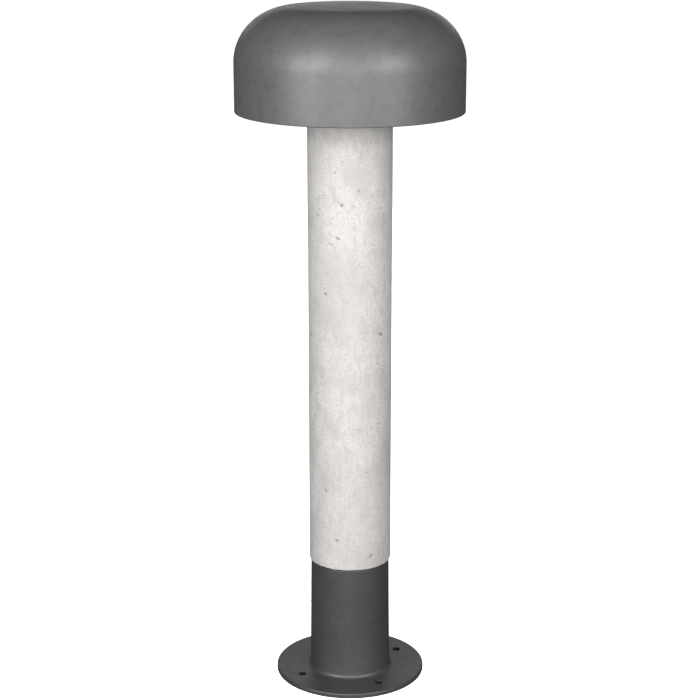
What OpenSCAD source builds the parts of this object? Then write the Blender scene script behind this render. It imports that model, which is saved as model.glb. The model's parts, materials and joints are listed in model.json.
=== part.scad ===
// Garden bollard light with a mushroom shade, a hollow concrete post and a cast flanged base.
// Millimetres, +Z up. The origin is on the ground, in the middle of the flange's underside.

/* [Overall] */
// Height from the ground to the top of the shade
total_h = 800; // [760:5:860]

/* [Shade] */
// Outside diameter of the shade
shade_d = 260; // [256:1:270]
// Height of the shade from its rim to its top
shade_h = 119; // [117:1:121]
// Height of the straight skirt above the rim
skirt_h = 55; // [53:1:57]
// Radial width of the rounded shoulder
shoulder_w = 67; // [65:1:67]
// Slope of the slightly domed top where it meets the shoulder, in degrees
dome_slope = 3.5; // [3:0.25:4]
// Wall thickness of the shade
shade_wall = 3; // [2.5:0.25:3.5]

/* [Post] */
// Outside diameter of the concrete post
post_d = 97; // [95:1:100]
// Bore of the concrete post
bore_d = 66; // [66:0.5:68]
// How far the post reaches up past the rim of the shade
post_lap = 9; // [9:0.5:11]
// Rounding of the post's end edges
post_edge = 1.5; // [0.5:0.25:2]

/* [Base] */
// Diameter of the flange
flange_d = 178; // [176:1:190]
// Thickness of the flange
flange_t = 6; // [5:0.5:8]
// Height of the base casting
base_h = 144; // [140:1:150]
// Sleeve diameter just above the foot fillet
sleeve_foot_d = 96; // [95:0.5:97]
// Sleeve diameter at its top
sleeve_top_d = 93.4; // [92.5:0.1:94.5]
// Radius of the fillet between the sleeve and the flange
foot_fillet = 4; // [3:0.5:6]
// Pitch circle of the anchor holes
anchor_pcd = 134; // [130:1:140]
// Diameter of the anchor holes
anchor_hole_d = 9; // [8:0.5:10]
// Direction of the first anchor hole, in degrees from +X
anchor_turn = 31; // [0:1:89]

/* [Light] */
// Outside diameter of the opal diffuser
diffuser_d = 105; // [104:0.5:106]
// Wall thickness of the diffuser
diffuser_wall = 2.5; // [2:0.25:3]
// Largest diameter of the lamp
lamp_d = 55; // [45:1:60]
// Length of the lamp above the lamp holder's mouth
lamp_len = 74; // [68:1:78]
// Outside diameter of the lamp holder
holder_d = 41; // [39:0.5:41]

/* [Fixings] */
// Radius at which the three tie rods stand
rod_ring_r = 28.5; // [28.4:0.05:28.6]
// Diameter of a tie rod
rod_d = 6; // [5:1:6]
// Radius at which the three shade pillars stand
pillar_ring_r = 95; // [92:1:98]
// Diameter of a shade pillar
pillar_d = 10; // [9:0.5:11]
// Diameter of a thumbscrew's shank
thumb_d = 4.9; // [4.8:0.02:4.92]

/* [Hidden] */

$fn = 96;
e = 0.01;                      // overshoot of a cut past a face
tap_gap = 0.05;                // play between a screw and its tapped hole

// Heights
seal_t = 1;
post_bottom = base_h + seal_t;
rim_z = total_h - shade_h;
post_top = rim_z + post_lap;
carrier_z = post_top + seal_t;
carrier_t = 4;
deck_z = carrier_z + carrier_t;

// Shade profile
shade_r = shade_d / 2;
shoulder_z = rim_z + skirt_h;
shoulder_c = shade_r - shoulder_w;
// The shoulder is a quarter ellipse, cut where its slope comes down to the dome's.
// The dome takes up the height that is left.
shoulder_h = total_h - shoulder_z - 2;
shoulder_end = atan(shoulder_h / (shoulder_w * tan(dome_slope)));
dome_edge_r = shoulder_c + shoulder_w * cos(shoulder_end);
dome_edge_z = shoulder_z + shoulder_h * sin(shoulder_end);
dome_h = total_h - dome_edge_z;
ceiling_z = shoulder_z + shoulder_h - shade_wall;

// Base interior
sleeve_bore_r = 41.5;          // wiring space
recess_r = 43;                 // open recess under the gland plate
flange_edge = 1.5;
web_t = 8;
web_z = base_h - web_t;
spigot_wall = 2.2;
spigot_h = 12;
spigot_gap = 0.3;
grommet_hole_r = 8;
plate_z = 28;
plate_t = 3;
plate_seal_t = 1;
shelf_z = plate_z + plate_t + plate_seal_t;
boss_ring_r = 36.5;
boss_r = 6;
boss_h = 20;
m4_r = 2;
m4_head_r = 4;
m4_head_h = 2.5;
gland_thread_r = 10;
gland_bore_r = 5;

// Terminal bracket, under the web
bracket_t = 1.5;
bracket_y = -14;               // front face of the upright
bracket_w = 34;
bracket_drop = 66;
bracket_foot = 16;
foot_screw_y = bracket_y - 9;
foot_screw_x = 7;
block_w = 34;
block_d = 16;
block_h = 18;
block_z = 84;
pole_pitch = 11;
earth_at = [12, 24];

// Tie rods
nut_h = 5;
nut_af = 10;
washer_t = 1.6;
washer_r = 6;
rod_stub = 6;
rod_low = web_z - washer_t - nut_h - rod_stub;
rod_top = deck_z + washer_t + nut_h + 2;
rod_hole_r = rod_d / 2 + 0.3;
rod_angles = [90, 210, 330];

// Lamp carrier
carrier_r = 60;
carrier_open_r = 22;
arm_r = 9;
arm_hole_r = thumb_d / 2 + 0.3;
gasket_t = 2;
gasket_z = deck_z;
diffuser_r = diffuser_d / 2;
diffuser_z = gasket_z + gasket_t + 0.2;

// Lamp holder
holder_r = holder_d / 2;
holder_mouth = deck_z + 5;
holder_h = 45;
holder_z = holder_mouth - holder_h;
strap_t = 2;
strap_w = 16;
strap_leg_x = 23;
strap_foot_x = 31;
strap_screw_x = 28;
nipple_r = 5;
nipple_bore_r = 3.8;
nipple_low = holder_z - strap_t - 8;
shell_r = 14;
shell_wall = 0.5;
shell_low = holder_mouth - 27;
contact_low = shell_low - 2;

// Lamp: a screw cap, an insulator with its contact, a collar and an opal bulb
cap_r = 13.2;
cap_z = holder_mouth - 22;
cap_top = holder_mouth + 1;
insulator_h = 2.5;
contact_h = 1.2;
thread_pitch = 3.6;
collar_h = 26;
collar_top = cap_top + collar_h;
board_t = 1.6;
bulb_wall = 1.2;
collar_r = lamp_d / 2 - 3;
lamp_r = lamp_d / 2;
lamp_top = holder_mouth + lamp_len;

// Head: reflector, diffuser flange and its ring
reflector_r = 58;
reflector_t = 1;
top_seal_t = 1.5;
diffuser_flange_t = 2.5;
flange_top_z = ceiling_z - reflector_t - top_seal_t;
ring_t = 2.5;
ring_top_z = flange_top_z - diffuser_flange_t;
ring_r = 67;
ring_screw_r = 62.6;
ring_boss_r = 4.4;
ring_screw_angles = [30, 150, 270];
pillar_boss_r = 8;
pillar_boss_z = 772;
stud_r = 2.5;
stud_h = 8;
thumb_hole_r = thumb_d / 2 + 0.1;
thumb_reach = 14;
thumb_head_r = 8;
thumb_head_h = 8;
thumb_gap = 0.3;
thumb_head_z = carrier_z - thumb_gap - thumb_head_h;
pillar_angles = [90, 210, 330];

// The flex runs up the middle of the post: [x, y, z]
flex_r = 3.4;
flex_low = 118;
flex_route = [
    [0, 0, flex_low], [0, 0, 128], [0, 0, 160], [2, 1, 230], [4, 2, 310], [3, -2, 400],
    [-1, -3, 490], [-2, 0, 560], [0, 0, 610], [0, 0, 630], [0, 0, 646], [0, 0, 662]
];
core_r = 1.2;

anthracite = "#4d4c4c";
concrete_grey = "#d6d2d0";
zinc = "#b9bcc0";
brass = "#c9a04a";
rubber_black = "#26262a";
silicone = "#d9d9d6";
opal = "#f4f2ec";
white = "#f2f2f0";

// Points of an elliptical arc about c, from angle a0 to a1
function arc(c, rx, ry, a0, a1, n) =
    [for (i = [0:n]) let (a = a0 + (a1 - a0) * i / n) [c[0] + rx * cos(a), c[1] + ry * sin(a)]];

// Ring with rounded outer edges, as a half section
module rounded_ring_section(r_in, r_out, z0, z1, edge) {
    translate([r_in, z0 + edge]) square([r_out - r_in, z1 - z0 - 2 * edge]);
    translate([r_in, z0]) square([r_out - r_in - edge, z1 - z0]);
    for (z = [z0 + edge, z1 - edge])
        translate([r_out - edge, z]) circle(edge);
}

// Plain flat ring
module ring(r_in, r_out, z, h) {
    rotate_extrude()
        translate([r_in, z]) square([r_out - r_in, h]);
}

// Upright rod at a point
module rod(r, z0, z1, at = [0, 0]) {
    translate([at[0], at[1], z0]) cylinder(r = r, h = z1 - z0);
}

// Children repeated at each angle, out on a circle
module on_circle(r, angles) {
    for (a = angles)
        rotate(a) translate([r, 0, 0]) children();
}

// Hexagon nut with a plain bore
module nut(af, h, bore_r) {
    difference() {
        cylinder(r = af / sqrt(3), h = h, $fn = 6);
        translate([0, 0, -e]) cylinder(r = bore_r, h = h + 2 * e);
    }
}

// Cheese-head screw pointing up from z = 0, with a cross slot under its head
module screw_up(r, length, head_r, head_h) {
    cylinder(r = r, h = length);
    difference() {
        translate([0, 0, -head_h]) cylinder(r = head_r, h = head_h);
        for (a = [0, 90])
            rotate(a) translate([-head_r * 0.6, -0.5, -head_h - e]) cube([head_r * 1.2, 1, 1.2]);
    }
}

// Round tube swept along a route of points, as one closed mesh with flat ends.
// across is a direction that the route never runs along.
function direction(p, i) =
    let (a = p[max(i - 1, 0)], b = p[min(i + 1, len(p) - 1)], d = b - a) d / norm(d);
function sweep_ring(p, i, r, sides, across) =
    let (t = direction(p, i),
         u = cross(t, across) / norm(cross(t, across)),
         v = cross(t, u))
    [for (k = [0:sides - 1]) p[i] + r * (cos(360 * k / sides) * u + sin(360 * k / sides) * v)];
module sweep(p, r, sides, across) {
    rings = [for (i = [0:len(p) - 1]) each sweep_ring(p, i, r, sides, across)];
    last = (len(p) - 1) * sides;
    walls = [for (i = [0:len(p) - 2], k = [0:sides - 1])
        [i * sides + k, i * sides + (k + 1) % sides,
         (i + 1) * sides + (k + 1) % sides, (i + 1) * sides + k]];
    ends = [[for (k = [0:sides - 1]) sides - 1 - k], [for (k = [0:sides - 1]) last + k]];
    polyhedron(points = rings, faces = concat(walls, ends), convexity = 6);
}

// Smooth curve through the route's points
function bend(p, i, t) =
    let (a = p[max(i - 1, 0)], b = p[i], c = p[i + 1], d = p[min(i + 2, len(p) - 1)])
    0.5 * (2 * b + (c - a) * t + (2 * a - 5 * b + 4 * c - d) * t * t
           + (3 * b - a - 3 * c + d) * t * t * t);
function smooth(p, n) =
    concat([for (i = [0:len(p) - 2], k = [0:n - 1]) bend(p, i, k / n)], [p[len(p) - 1]]);

// ---- base ----

module base_section() {
    flange_r = flange_d / 2;
    foot_r = sleeve_foot_d / 2;
    translate([recess_r, 0]) square([flange_r - recess_r, flange_t - flange_edge]);
    translate([recess_r, 0]) square([flange_r - recess_r - flange_edge, flange_t]);
    translate([flange_r - flange_edge, flange_t - flange_edge]) circle(flange_edge);
    polygon([
        [recess_r, 0], [foot_r, 0], [foot_r, flange_t + foot_fillet], [sleeve_top_d / 2, base_h],
        [0, base_h], [0, web_z], [sleeve_bore_r, web_z], [sleeve_bore_r, shelf_z], [recess_r, shelf_z]
    ]);
    difference() {
        translate([foot_r - 1, flange_t - 1]) square(foot_fillet + 1);
        translate([foot_r + foot_fillet, flange_t + foot_fillet]) circle(foot_fillet);
    }
    spigot_r = bore_d / 2 - spigot_gap;
    translate([spigot_r - spigot_wall, base_h - 1]) square([spigot_wall, spigot_h + 1]);
}

module base_casting() {
    color(anthracite)
    difference() {
        union() {
            rotate_extrude() base_section();
            intersection() {
                on_circle(boss_ring_r, [30, 150, 270])
                    translate([0, 0, shelf_z]) cylinder(r = boss_r, h = boss_h);
                rod(sleeve_bore_r + 1, shelf_z, shelf_z + boss_h);
            }
        }
        rotate(anchor_turn)
            on_circle(anchor_pcd / 2, [0, 90, 180, 270])
                rod(anchor_hole_d / 2, -1, flange_t + 1);
        on_circle(rod_ring_r, rod_angles) rod(rod_hole_r, web_z - 1, base_h + spigot_h + 1);
        on_circle(boss_ring_r, [30, 150, 270]) rod(m4_r + tap_gap, shelf_z - 1, shelf_z + 12);
        for (x = [-foot_screw_x, foot_screw_x])
            rod(1.5 + tap_gap, web_z - 1, web_z + 6, [x, foot_screw_y]);
        rod(2 + tap_gap, web_z - 1, web_z + 6, earth_at);
        rod(grommet_hole_r, web_z - 1, base_h + 1);
    }
}

module gland_plate() {
    color(zinc)
    difference() {
        rod(recess_r - 0.3, plate_z, plate_z + plate_t);
        rod(gland_thread_r + 0.1, plate_z - 1, plate_z + plate_t + 1);
        on_circle(boss_ring_r, [30, 150, 270])
            rod(m4_r + 0.25, plate_z - 1, plate_z + plate_t + 1);
    }
}

module gland_plate_seal() {
    color(rubber_black)
        ring(39, recess_r - 0.3, plate_z + plate_t, plate_seal_t);
}

module gland_plate_screws() {
    color(zinc)
        on_circle(boss_ring_r, [30, 150, 270])
            translate([0, 0, plate_z]) screw_up(m4_r, 14, m4_head_r, m4_head_h);
}

module gland_body() {
    color(rubber_black)
    difference() {
        union() {
            translate([0, 0, plate_z - 6]) cylinder(r = 24 / sqrt(3), h = 6, $fn = 6);
            rod(gland_thread_r, plate_z - 1, plate_z + 10);
            rod(9.5, plate_z - 14, plate_z - 5);
        }
        rod(7, plate_z - 15, plate_z + 11);
    }
}

module gland_dome_nut() {
    color(rubber_black)
    difference() {
        union() {
            translate([0, 0, plate_z - 13]) cylinder(r = 22 / sqrt(3), h = 7, $fn = 6);
            rotate_extrude()
                intersection() {
                    translate([0, plate_z - 13]) circle(11);
                    translate([0, plate_z - 21]) square([11, 9]);
                }
        }
        rod(9.6, plate_z - 14, plate_z - 5);
        rod(6.5, plate_z - 23, plate_z - 5);
    }
}

module gland_lock_nut() {
    color(rubber_black)
        translate([0, 0, plate_z + plate_t]) nut(26, 5, gland_thread_r + tap_gap);
}

module gland_seal() {
    color(silicone)
        ring(gland_bore_r, 6.9, plate_z - 14, 20);
}

module terminal_bracket() {
    color(zinc)
    difference() {
        union() {
            translate([-bracket_w / 2, bracket_y - bracket_t, web_z - bracket_drop])
                cube([bracket_w, bracket_t, bracket_drop]);
            translate([-12, bracket_y - bracket_foot, web_z - bracket_t])
                cube([24, bracket_foot, bracket_t]);
        }
        for (x = [-foot_screw_x, foot_screw_x])
            rod(1.7, web_z - bracket_t - 1, web_z + 1, [x, foot_screw_y]);
        for (x = [-pole_pitch / 2, pole_pitch / 2])
            translate([x, bracket_y + 1, block_z + block_h / 2])
                rotate([90, 0, 0]) cylinder(r = 1.7, h = bracket_t + 2);
    }
}

module bracket_screws() {
    color(zinc) {
        for (x = [-foot_screw_x, foot_screw_x])
            translate([x, foot_screw_y, web_z - bracket_t]) screw_up(1.5, 7, 2.8, 2);
        for (x = [-pole_pitch / 2, pole_pitch / 2])
            translate([x, bracket_y - bracket_t, block_z + block_h / 2])
                rotate([-90, 0, 0]) screw_up(1.5, 8, 2.8, 2);
    }
}

module terminal_block() {
    color(white)
    difference() {
        translate([-block_w / 2, bracket_y, block_z]) cube([block_w, block_d, block_h]);
        for (x = [-pole_pitch, 0, pole_pitch]) {
            rod(1.8, block_z - 1, block_z + block_h + 1, [x, bracket_y + 10]);
            for (z = [4.5, 13.5])
                translate([x, bracket_y + 10, block_z + z])
                    rotate([-90, 0, 0]) cylinder(r = 2.2, h = 7);
        }
        for (x = [-pole_pitch / 2, pole_pitch / 2])
            translate([x, bracket_y - 1, block_z + block_h / 2])
                rotate([-90, 0, 0]) cylinder(r = 1.5 + tap_gap, h = 9);
        for (x = [-pole_pitch / 2, pole_pitch / 2])
            translate([x - 0.5, bracket_y + 9, block_z - 1]) cube([1, block_d, block_h + 2]);
    }
}

module terminal_screws() {
    color(brass)
        for (x = [-pole_pitch, 0, pole_pitch], z = [4.5, 13.5])
            translate([x, bracket_y + 15, block_z + z])
                rotate([90, 0, 0])
                    difference() {
                        cylinder(r = 2, h = 3);
                        translate([-2, -0.3, -e]) cube([4, 0.6, 0.8]);
                    }
}

module earth_lug() {
    color(brass)
    difference() {
        hull() {
            rod(4.5, web_z - 1, web_z, earth_at);
            translate([earth_at[0] - 9, earth_at[1] - 8.5, web_z - 1]) cylinder(r = 2, h = 1);
        }
        rod(2.2, web_z - 2, web_z + 1, earth_at);
    }
}

module earth_screw() {
    color(brass)
        translate([earth_at[0], earth_at[1], web_z - 1]) screw_up(2, 6, 3.8, 2.5);
}

module earth_wire() {
    color("#4f8f3a")
        sweep(smooth([[pole_pitch, bracket_y + 10, block_z + block_h - 3],
                      [pole_pitch, bracket_y + 10, block_z + block_h + 6],
                      [10, 2, 119], [6, 11, 128], [3.2, 15.6, web_z - 2.5]], 4),
              core_r, 8, [1, 0, 0]);
}

module grommet() {
    color(rubber_black)
    rotate_extrude()
        difference() {
            union() {
                translate([flex_r, web_z - 2]) square([grommet_hole_r - flex_r - 0.1, web_t + 4]);
                translate([flex_r, web_z - 2]) square([grommet_hole_r - flex_r + 3, 2]);
                translate([flex_r, base_h]) square([grommet_hole_r - flex_r + 3, 2]);
            }
            translate([flex_r - 1, web_z - 3]) square([1.3, web_t + 6]);
        }
}

module flex_cable() {
    color(rubber_black)
        sweep(smooth(flex_route, 4), flex_r, 12, [1, 0, 0]);
}

module base_cores() {
    color("#7a4a2c")
        for (start = [[-1.6, -pole_pitch], [1.6, 0]])
            sweep(smooth([[start[0], 0, flex_low - 0.3], [start[0], -0.5, flex_low - 4],
                          [start[1] * 0.75, bracket_y + 11, flex_low - 10],
                          [start[1], bracket_y + 10, flex_low - 15],
                          [start[1], bracket_y + 10, block_z + block_h - 2]], 3),
                  core_r, 8, [0, 1, 0]);
}

// ---- post ----

module tie_rods() {
    color(zinc)
        on_circle(rod_ring_r, rod_angles) rod(rod_d / 2, rod_low, rod_top);
}

module lower_nuts() {
    color(zinc)
        on_circle(rod_ring_r, rod_angles)
            translate([0, 0, web_z - washer_t - nut_h]) nut(nut_af, nut_h, rod_d / 2 + tap_gap);
}

module lower_washers() {
    color(zinc)
        on_circle(rod_ring_r, rod_angles)
            ring(rod_d / 2 + 0.2, washer_r, web_z - washer_t, washer_t);
}

module upper_nuts() {
    color(zinc)
        on_circle(rod_ring_r, rod_angles)
            translate([0, 0, deck_z + washer_t]) nut(nut_af, nut_h, rod_d / 2 + tap_gap);
}

module upper_washers() {
    color(zinc)
        on_circle(rod_ring_r, rod_angles) ring(rod_d / 2 + 0.2, washer_r, deck_z, washer_t);
}

module lower_post_seal() {
    color(rubber_black) ring(bore_d / 2 + 1, sleeve_top_d / 2 - 1.5, base_h, seal_t);
}

module concrete_post() {
    color(concrete_grey)
        rotate_extrude()
            rounded_ring_section(bore_d / 2, post_d / 2, post_bottom, post_top, post_edge);
}

module upper_post_seal() {
    color(rubber_black) ring(bore_d / 2 + 1, sleeve_top_d / 2 - 1.5, post_top, seal_t);
}

// ---- lamp carrier ----

module carrier_arm() {
    translate([0, 0, carrier_z]) {
        translate([carrier_open_r + 12, -arm_r, 0])
            cube([pillar_ring_r - carrier_open_r - 12, 2 * arm_r, carrier_t]);
        translate([pillar_ring_r, 0, 0]) cylinder(r = arm_r, h = carrier_t);
    }
}

module lamp_carrier() {
    color(anthracite)
    difference() {
        union() {
            rod(carrier_r, carrier_z, deck_z);
            for (a = pillar_angles)
                rotate(a) carrier_arm();
            ring(bore_d / 2 - spigot_gap - spigot_wall, bore_d / 2 - spigot_gap,
                 carrier_z - 8, 8 + e);
        }
        rod(carrier_open_r, carrier_z - 9, deck_z + 1);
        on_circle(rod_ring_r, rod_angles) rod(rod_hole_r, carrier_z - 9, deck_z + 1);
        on_circle(pillar_ring_r, pillar_angles) rod(arm_hole_r, carrier_z - 1, deck_z + 1);
        for (x = [-strap_screw_x, strap_screw_x])
            rod(m4_r + 0.25, carrier_z - 1, deck_z + 1, [x, 0]);
        for (side = [-1, 1])
            translate([side * 30 - 5, -strap_w / 2 - 1, carrier_z - 9]) cube([10, strap_w + 2, 9]);
    }
}

module diffuser_gasket() {
    color(silicone) ring(diffuser_r - 4, diffuser_r + 1.5, gasket_z, gasket_t);
}

module holder_strap() {
    low = holder_z - strap_t;
    color(zinc)
    difference() {
        union() {
            translate([-strap_leg_x - strap_t, -strap_w / 2, low])
                cube([2 * (strap_leg_x + strap_t), strap_w, strap_t]);
            for (side = [-1, 1]) {
                translate([side * (strap_leg_x + strap_t / 2) - strap_t / 2, -strap_w / 2, low])
                    cube([strap_t, strap_w, carrier_z - low]);
                translate([side * (strap_leg_x + strap_foot_x) / 2 - (strap_foot_x - strap_leg_x) / 2,
                           -strap_w / 2 + 1, carrier_z - strap_t])
                    cube([strap_foot_x - strap_leg_x, strap_w - 2, strap_t]);
            }
        }
        rod(nipple_r + 0.1, low - 1, holder_z + 1);
        for (x = [-strap_screw_x, strap_screw_x])
            rod(m4_r + tap_gap, carrier_z - strap_t - 1, carrier_z + 1, [x, 0]);
    }
}

module strap_screws() {
    color(zinc)
        for (x = [-strap_screw_x, strap_screw_x])
            translate([x, 0, deck_z]) mirror([0, 0, 1]) screw_up(m4_r, 8, 3.6, m4_head_h);
}

module holder_nipple() {
    color(brass) ring(nipple_bore_r, nipple_r, nipple_low, 16);
}

module nipple_nut() {
    color(brass)
        translate([0, 0, holder_z - strap_t - 4]) nut(14, 4, nipple_r + tap_gap);
}

module holder_body() {
    color(white)
    difference() {
        rotate_extrude()
            rounded_ring_section(0, holder_r, holder_z, holder_mouth, 1.5);
        rod(shell_r + shell_wall, shell_low, holder_mouth + 1);
        rod(4, contact_low - 6, shell_low + e);
        rod(nipple_r + tap_gap, holder_z - 1, holder_z + 6.5);
        rod(11, holder_z + 6.5 - e, holder_z + 11);
        for (x = [-8, 8])
            rod(1.6, holder_z + 10, shell_low + 1, [x, 0]);
    }
}

module holder_shell() {
    color(brass) ring(shell_r, shell_r + shell_wall - 0.02, shell_low, 24);
}

module holder_contact() {
    color(brass) {
        rod(3.5, contact_low - 5, contact_low);
        rod(1.6, contact_low - e, cap_z - insulator_h - contact_h - 0.3);
    }
}

// ---- lamp ----

module lamp_contact() {
    color(zinc)
        rod(4, cap_z - insulator_h - contact_h, cap_z - insulator_h);
}

module lamp_insulator() {
    color(rubber_black)
        translate([0, 0, cap_z - insulator_h]) cylinder(r1 = 5.5, r2 = 11, h = insulator_h);
}

module lamp_cap() {
    color(zinc)
    rotate_extrude()
        difference() {
            union() {
                translate([0, cap_z]) square([cap_r - 0.8, cap_top - cap_z]);
                for (i = [0:4])
                    translate([cap_r - 1, cap_z + 2.6 + i * thread_pitch]) circle(1);
                translate([0, cap_top - 2]) square([cap_r, 2]);
            }
            translate([0, cap_z + 1]) square([cap_r - 2.2, cap_top - cap_z]);
        }
}

// Outline of the collar, opening out from the cap to the bulb
function collar_side(inset) =
    [for (i = [0:8]) let (t = i / 8)
        [cap_r + (collar_r - cap_r) * sin(90 * t) - inset, cap_top + collar_h * t]];

module lamp_collar() {
    color(white)
        rotate_extrude()
            difference() {
                polygon(concat([[0, cap_top]], collar_side(0), [[0, collar_top]]));
                polygon(concat([[0, cap_top + 2]], [for (p = collar_side(2)) if (p[1] > cap_top + 2) p],
                               [[0, collar_top]]));
            }
}

module lamp_board() {
    color(zinc)
        rod(collar_r - 2.3, collar_top - board_t, collar_top);
}

// Half section of the bulb's outside or, with an inset, of its inside
module bulb_section(inset) {
    ball_z = lamp_top - lamp_r;
    intersection() {
        union() {
            translate([0, ball_z]) circle(lamp_r - inset);
            polygon([[0, collar_top], [collar_r - inset, collar_top],
                     [(lamp_r - inset) * cos(15), ball_z - lamp_r * sin(15)], [0, ball_z]]);
        }
        translate([0, collar_top]) square([lamp_r + 1, lamp_top - collar_top + 1]);
    }
}

module lamp_bulb() {
    color(opal)
        rotate_extrude()
            difference() {
                bulb_section(0);
                translate([0, -e]) bulb_section(bulb_wall);
            }
}

// ---- head ----

// The shade is welded from a skirt, a shoulder and a top disc, ground flush outside.
// The seam between the last two is where the flat ceiling meets the curve of the inside.

// Height of the domed top at a radius
function dome_z(r) = total_h - dome_h * pow(r / dome_edge_r, 2);

// Inside of the shoulder, from the ceiling down to the skirt
function shoulder_inside() =
    arc([shoulder_c, shoulder_z], shoulder_w - shade_wall, shoulder_h - shade_wall, 90, 0, 20);

module shade_skirt() {
    color(anthracite) ring(shade_r - shade_wall, shade_r, rim_z, skirt_h);
}

module shade_shoulder() {
    color(anthracite)
        rotate_extrude()
            polygon(concat(
                arc([shoulder_c, shoulder_z], shoulder_w, shoulder_h, 0, shoulder_end, 24),
                [[shoulder_c, dome_z(shoulder_c)]],
                shoulder_inside()));
}

module shade_top() {
    color(anthracite)
        rotate_extrude()
            polygon(concat(
                [[0, ceiling_z], [shoulder_c, ceiling_z]],
                [for (i = [5:-1:0]) [shoulder_c * i / 5, dome_z(shoulder_c * i / 5)]]));
}

module shade_bosses() {
    color(anthracite)
    difference() {
        intersection() {
            union() {
                on_circle(ring_screw_r, ring_screw_angles) rod(ring_boss_r, ring_top_z, total_h);
                on_circle(pillar_ring_r, pillar_angles) rod(pillar_boss_r, pillar_boss_z, total_h);
            }
            rotate_extrude()
                polygon(concat([[0, ceiling_z], [0, shoulder_z], [shade_r - shade_wall, shoulder_z]],
                               [for (i = [19:-1:0]) shoulder_inside()[i]]));
        }
        on_circle(ring_screw_r, ring_screw_angles) rod(m4_r + tap_gap, ring_top_z - 1, ceiling_z + 1);
        on_circle(pillar_ring_r, pillar_angles)
            rod(stud_r + tap_gap, pillar_boss_z - 1, pillar_boss_z + stud_h + 0.5);
    }
}

module reflector_disc() {
    color(white) rod(reflector_r - 0.2, ceiling_z - reflector_t, ceiling_z);
}

module diffuser_top_seal() {
    color(silicone) ring(diffuser_r - diffuser_wall, reflector_r - 0.2, flange_top_z, top_seal_t);
}

module diffuser() {
    color(opal)
    rotate_extrude() {
        translate([diffuser_r - diffuser_wall, diffuser_z])
            square([diffuser_wall, flange_top_z - diffuser_z]);
        translate([diffuser_r - diffuser_wall, ring_top_z])
            square([reflector_r - 0.2 - diffuser_r + diffuser_wall, diffuser_flange_t]);
    }
}

module diffuser_ring() {
    color(white)
    difference() {
        ring(diffuser_r + 0.5, ring_r, ring_top_z - ring_t, ring_t);
        on_circle(ring_screw_r, ring_screw_angles)
            rod(m4_r + 0.25, ring_top_z - ring_t - 1, ring_top_z + 1);
    }
}

module ring_screws() {
    color(zinc)
        on_circle(ring_screw_r, ring_screw_angles)
            translate([0, 0, ring_top_z - ring_t]) screw_up(m4_r, 7, m4_head_r, m4_head_h);
}

module shade_pillars() {
    color(zinc)
        on_circle(pillar_ring_r, pillar_angles)
            difference() {
                union() {
                    rod(pillar_d / 2, deck_z, pillar_boss_z);
                    rod(stud_r, pillar_boss_z - 1, pillar_boss_z + stud_h);
                }
                rod(thumb_hole_r, deck_z - 1, deck_z + thumb_reach + 2);
            }
}

// Knurled thumbscrew, its head under the carrier arm at angle a
module thumbscrew(a) {
    flutes = 20;
    color(zinc)
    on_circle(pillar_ring_r, [a]) {
        rod(thumb_d / 2, thumb_head_z + 1, deck_z + thumb_reach);
        difference() {
            rod(thumb_head_r, thumb_head_z, thumb_head_z + thumb_head_h);
            for (i = [0:flutes - 1])
                rotate(360 * i / flutes)
                    rod(0.7, thumb_head_z - 1, thumb_head_z + thumb_head_h - 2, [thumb_head_r + 0.1, 0]);
            translate([-thumb_head_r, -0.6, thumb_head_z - e]) cube([2 * thumb_head_r, 1.2, 1.5]);
        }
    }
}

base_casting();
gland_plate();
gland_plate_seal();
gland_plate_screws();
gland_body();
gland_dome_nut();
gland_lock_nut();
gland_seal();
terminal_bracket();
bracket_screws();
terminal_block();
terminal_screws();
earth_lug();
earth_screw();
earth_wire();
grommet();
flex_cable();
base_cores();
tie_rods();
lower_nuts();
lower_washers();
upper_nuts();
upper_washers();
lower_post_seal();
concrete_post();
upper_post_seal();
lamp_carrier();
diffuser_gasket();
holder_strap();
strap_screws();
holder_nipple();
nipple_nut();
holder_body();
holder_shell();
holder_contact();
lamp_contact();
lamp_insulator();
lamp_cap();
lamp_collar();
lamp_board();
lamp_bulb();
shade_skirt();
shade_shoulder();
shade_top();
shade_bosses();
reflector_disc();
diffuser_top_seal();
diffuser();
diffuser_ring();
ring_screws();
shade_pillars();
thumbscrew(pillar_angles[0]);  // thumbscrew_1
thumbscrew(pillar_angles[1]);  // thumbscrew_2
thumbscrew(pillar_angles[2]);  // thumbscrew_3
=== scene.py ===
"""Looks of a garden bollard light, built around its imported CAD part.

Lengths are in metres and every piece stands in the CAD part's frame: Z is up, the ground is z = 0 and
the post's axis is the Z axis. The camera looks along +Y. Names in capitals repeat the design's own sizes.
"""
import json
import math

import bmesh
import bpy
import numpy as np
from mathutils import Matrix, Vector


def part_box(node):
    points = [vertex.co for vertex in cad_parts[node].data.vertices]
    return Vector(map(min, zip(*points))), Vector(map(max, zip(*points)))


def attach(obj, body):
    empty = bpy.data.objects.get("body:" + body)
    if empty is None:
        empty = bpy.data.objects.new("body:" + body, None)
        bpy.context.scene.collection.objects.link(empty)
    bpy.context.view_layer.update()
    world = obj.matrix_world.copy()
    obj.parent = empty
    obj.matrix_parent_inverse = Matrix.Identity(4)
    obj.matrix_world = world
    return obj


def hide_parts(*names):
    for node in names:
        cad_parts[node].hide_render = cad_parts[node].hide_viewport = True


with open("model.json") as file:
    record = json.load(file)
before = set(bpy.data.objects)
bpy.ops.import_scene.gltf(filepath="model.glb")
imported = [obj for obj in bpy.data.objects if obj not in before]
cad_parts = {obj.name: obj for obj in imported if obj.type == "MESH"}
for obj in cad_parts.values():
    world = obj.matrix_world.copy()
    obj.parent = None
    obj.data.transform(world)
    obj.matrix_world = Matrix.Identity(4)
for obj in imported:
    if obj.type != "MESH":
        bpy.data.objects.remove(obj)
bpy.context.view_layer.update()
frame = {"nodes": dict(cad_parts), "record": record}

MM = 0.001
NODES = frame["nodes"]
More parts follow.
